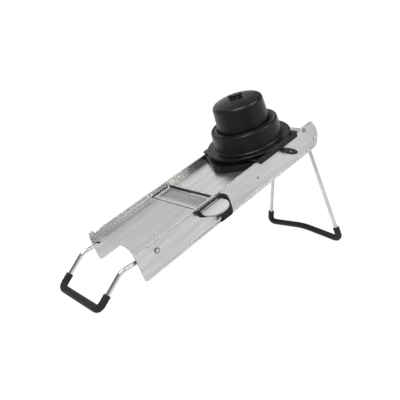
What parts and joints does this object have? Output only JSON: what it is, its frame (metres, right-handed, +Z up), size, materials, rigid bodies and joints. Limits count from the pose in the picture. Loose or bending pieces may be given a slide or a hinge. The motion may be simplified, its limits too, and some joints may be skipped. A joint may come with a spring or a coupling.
{
  "type": "mandoline slicer",
  "caption": "Steel mandoline slicer on two folding wire legs, with a sliding carriage, a round food pusher, a side-pull blade cartridge and a lever that sets the slice thickness.",
  "frame": {"origin": "on the floor, at the middle of the object's outline seen from above", "axes": "+X from the low end to the high end of the deck, +Y across it to the side away from the lever and the grip, +Z up"},
  "size_m": [0.5046, 0.1904, 0.2801],
  "materials": {
    "sheet_steel": "brushed stainless sheet",
    "blade_steel": "ground stainless",
    "bright_wire": "polished stainless",
    "black_plastic": "satin black moulded",
    "foot_rubber": "matt",
    "pale_plastic": "satin pale blue-grey"
  },
  "bodies": {
    "frame": {"side_wall_near": "sheet_steel", "side_wall_far": "sheet_steel", "guide_rail_near": "sheet_steel", "guide_rail_far": "sheet_steel", "rail_stop_far": "sheet_steel", "table_lower": "sheet_steel", "cross_brace_mid": "sheet_steel", "brace_rivet_near": "sheet_steel", "brace_rivet_far": "sheet_steel", "hinge_screw_near": "bright_wire", "hinge_screw_far": "bright_wire", "leg_pad_near": "foot_rubber", "leg_pad_far": "foot_rubber", "leg_stop_plate": "sheet_steel"},
    "feed": {"feed_table": "sheet_steel", "hinge_lug_near": "sheet_steel", "hinge_lug_far": "sheet_steel", "table_screw_low": "bright_wire", "table_screw_high": "bright_wire"},
    "lever": {"cam_shaft": "bright_wire", "cam_near": "black_plastic", "cam_far": "black_plastic", "shaft_clip": "sheet_steel", "lever_knob": "black_plastic", "lever_screw": "bright_wire"},
    "cartridge": {"cartridge_frame": "black_plastic", "cartridge_tip": "black_plastic", "slicing_blade": "blade_steel", "blade_clamp_near": "blade_steel", "blade_clamp_far": "blade_steel", "clamp_screw_near": "bright_wire", "clamp_screw_far": "bright_wire", "cartridge_handle": "black_plastic", "pull_tab": "pale_plastic"},
    "carriage": {"carriage_plate": "black_plastic"},
    "pusher": {"pusher_housing": "black_plastic"},
    "cap": {"pusher_cap": "black_plastic", "pin_plate": "blade_steel"},
    "cap_knob_body": {"cap_knob": "black_plastic", "cap_spindle": "bright_wire"},
    "front_leg": {"front_leg_wire": "bright_wire", "front_leg_foot": "foot_rubber", "front_leg_cap_near": "sheet_steel", "front_leg_cap_far": "sheet_steel"},
    "rear_leg": {"rear_leg_wire": "bright_wire", "rear_leg_foot": "foot_rubber", "rear_leg_cap_near": "sheet_steel", "rear_leg_cap_far": "sheet_steel"}
  },
  "joints": [
    {"name": "feed_tilt", "type": "hinge", "parent": "frame", "child": "feed", "pos_m": [0.15818, 0.0033, 0.21217], "axis": [0, -1, 0], "range_deg": [0, 2]},
    {"name": "lever_turn", "type": "hinge", "parent": "frame", "child": "lever", "pos_m": [0.11566, 0.0033, 0.18171], "axis": [0, -1, 0], "range_deg": [0, 90]},
    {"name": "cartridge_pull", "type": "slide", "parent": "frame", "child": "cartridge", "axis": [0, -1, 0], "range_m": [0, 0.14]},
    {"name": "carriage_run", "type": "slide", "parent": "frame", "child": "carriage", "axis": [0.9219, 0, 0.3875], "range_m": [-0.205, 0]},
    {"name": "pusher_lift", "type": "slide", "parent": "carriage", "child": "pusher", "axis": [-0.3875, 0, 0.9219], "range_m": [0, 0.06]},
    {"name": "cap_press", "type": "slide", "parent": "pusher", "child": "cap", "axis": [-0.3875, 0, 0.9219], "range_m": [-0.028, 0]},
    {"name": "cap_knob_turn", "type": "hinge", "parent": "cap", "child": "cap_knob_body", "pos_m": [0.05576, 0.0033, 0.2713], "axis": [-0.3875, 0, 0.9219], "range_deg": [0, 90]},
    {"name": "front_leg_fold", "type": "hinge", "parent": "frame", "child": "front_leg", "pos_m": [-0.15534, 0.0033, 0.07029], "axis": [0, -1, 0], "range_deg": [0, 145]},
    {"name": "rear_leg_fold", "type": "hinge", "parent": "frame", "child": "rear_leg", "pos_m": [0.18796, 0.0033, 0.19681], "axis": [0, 1, 0], "range_deg": [0, 72]}
  ],
  "couplings": [
    {"joint": "lever_turn", "follows": "feed_tilt", "ratio": 45}
  ]
}
